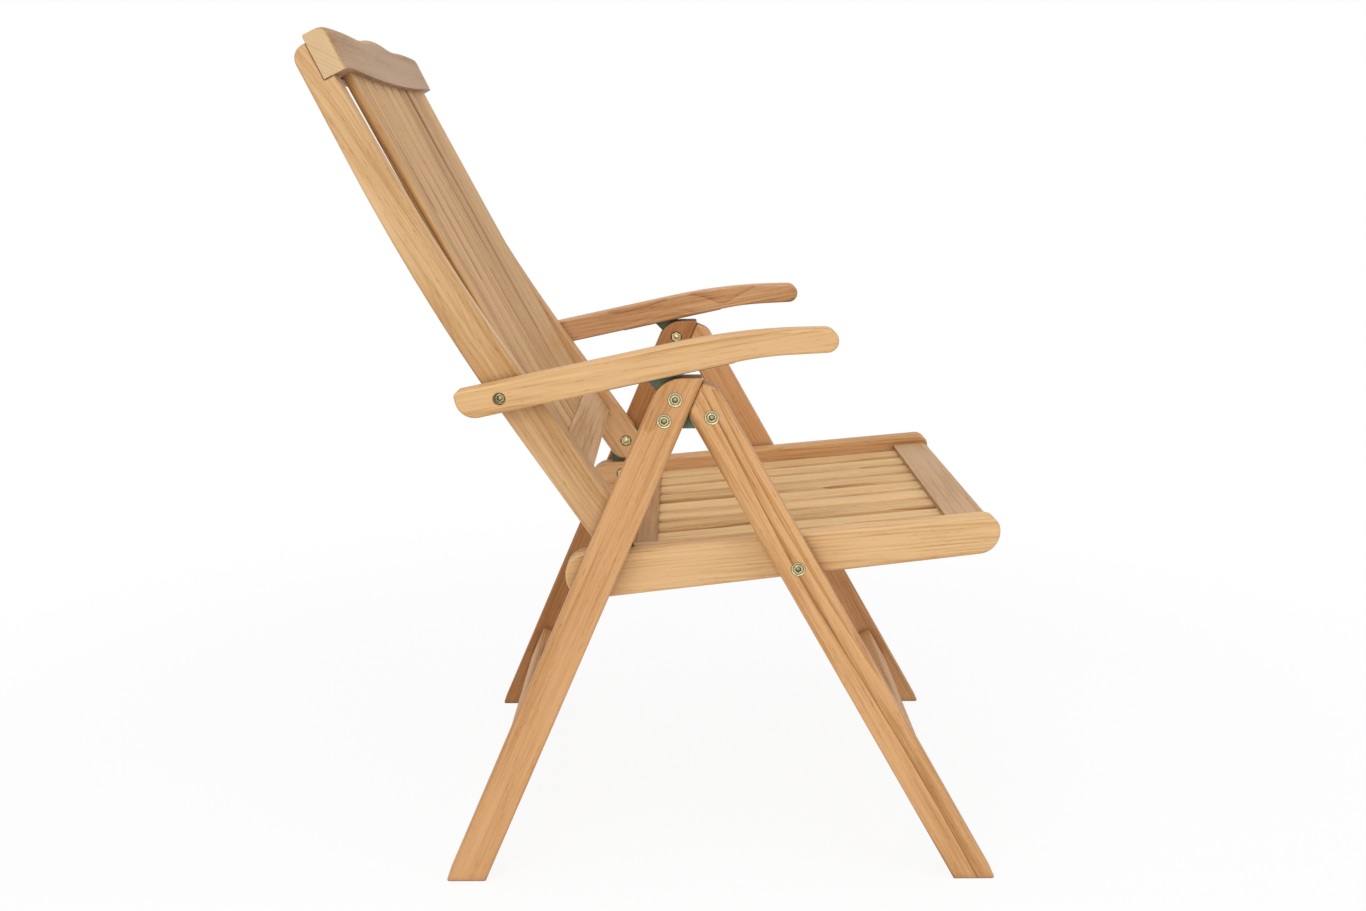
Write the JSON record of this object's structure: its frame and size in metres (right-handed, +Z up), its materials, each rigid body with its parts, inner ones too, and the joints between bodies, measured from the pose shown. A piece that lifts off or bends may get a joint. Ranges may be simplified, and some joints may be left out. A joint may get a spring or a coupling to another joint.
{
  "type": "folding teak armchair",
  "caption": "Folding slatted hardwood armchair with a tall bent back, hinged A-shaped legs, steel hook plates under the arms and a back that reclines in steps.",
  "frame": {"origin": "on the floor under the middle of the chair's bounding box, in the pose of the picture (legs open, back on its third latch position)", "axes": "+Z up, the sitter faces -Y, the sitter's right hand is on the -X side"},
  "size_m": [0.5908, 0.783, 0.9846],
  "materials": {
    "teak": "sanded, unoiled teak with fine grain",
    "dark_steel": "dark grey-green coated steel plate",
    "zinc": "pale yellow passivated zinc"
  },
  "bodies": {
    "rear_leg_frame": {"rear_leg_right": "teak", "rear_leg_left": "teak", "rear_stretcher": "teak", "leg_plate_right": "dark_steel", "leg_plate_left": "dark_steel", "leg_plate_bolts": "zinc", "seat_rest_pins": "zinc"},
    "front_leg_frame": {"front_leg_right": "teak", "front_leg_left": "teak", "front_stretcher": "teak", "fold_pivot_bolts": "zinc", "seat_pivot_bolts": "zinc", "seat_pivot_washers": "zinc"},
    "seat": {"seat_rail_right": "teak", "seat_rail_left": "teak", "seat_front_rail": "teak", "seat_rear_rail": "teak", "seat_slat_1": "teak", "seat_slat_2": "teak", "seat_slat_3": "teak", "seat_slat_4": "teak", "seat_slat_5": "teak", "seat_slat_6": "teak", "seat_slat_7": "teak", "seat_slat_8": "teak", "seat_slat_9": "teak", "hinge_plate_right": "dark_steel", "hinge_plate_left": "dark_steel", "hinge_plate_bolts": "zinc"},
    "back_hinge_bolts": {"back_pivot_bolts": "zinc"},
    "back": {"back_stile_right": "teak", "back_stile_left": "teak", "crest_rail": "teak", "back_bottom_rail": "teak", "back_slat_1": "teak", "back_slat_2": "teak", "back_slat_3": "teak", "back_slat_4": "teak", "back_slat_5": "teak", "back_slat_6": "teak", "back_slat_7": "teak", "back_slat_8": "teak", "back_slat_9": "teak"},
    "arm_bolt_right": {"arm_pivot_bolt_right": "zinc"},
    "armrest_right": {"arm_right": "teak", "arm_track_right": "dark_steel", "latch_bars_right": "zinc"},
    "arm_bolt_left": {"arm_pivot_bolt_left": "zinc"},
    "armrest_left": {"arm_left": "teak", "arm_track_left": "dark_steel", "latch_bars_left": "zinc"}
  },
  "joints": [
    {"name": "fold", "type": "hinge", "parent": "rear_leg_frame", "child": "front_leg_frame", "pos_m": [0, -0.05542, 0.5593], "axis": [1, 0, 0], "range_deg": [0, 52.6]},
    {"name": "seat_fold", "type": "hinge", "parent": "front_leg_frame", "child": "seat", "pos_m": [0, -0.15322, 0.3843], "axis": [1, 0, 0], "range_deg": [0, 66.8]},
    {"name": "back_fold", "type": "hinge", "parent": "seat", "child": "back_hinge_bolts", "pos_m": [0, 0.06094, 0.4285], "axis": [1, 0, 0], "range_deg": [0, 96.7]},
    {"name": "recline", "type": "hinge", "parent": "back_hinge_bolts", "child": "back", "pos_m": [0, 0.06094, 0.4285], "axis": [1, 0, 0], "range_deg": [-14.5, 13.5]},
    {"name": "arm_fold_right", "type": "hinge", "parent": "back", "child": "arm_bolt_right", "pos_m": [-0.262, 0.1791, 0.5815], "axis": [1, 0, 0], "range_deg": [-97.9, 0]},
    {"name": "arm_swing_right", "type": "hinge", "parent": "arm_bolt_right", "child": "armrest_right", "pos_m": [-0.262, 0.1791, 0.5815], "axis": [1, 0, 0], "range_deg": [-7.42, 7.97]},
    {"name": "arm_fold_left", "type": "hinge", "parent": "back", "child": "arm_bolt_left", "pos_m": [0.262, 0.1791, 0.5815], "axis": [1, 0, 0], "range_deg": [-97.9, 0]},
    {"name": "arm_swing_left", "type": "hinge", "parent": "arm_bolt_left", "child": "armrest_left", "pos_m": [0.262, 0.1791, 0.5815], "axis": [1, 0, 0], "range_deg": [-7.42, 7.97]}
  ],
  "couplings": [
    {"joint": "seat_fold", "follows": "fold", "ratio": 1.27},
    {"joint": "back_fold", "follows": "fold", "ratio": 1.8384},
    {"joint": "arm_fold_right", "follows": "fold", "ratio": -1.8612},
    {"joint": "arm_swing_right", "follows": "recline", "ratio": -0.55},
    {"joint": "arm_fold_left", "follows": "fold", "ratio": -1.8612},
    {"joint": "arm_swing_left", "follows": "recline", "ratio": -0.55}
  ]
}
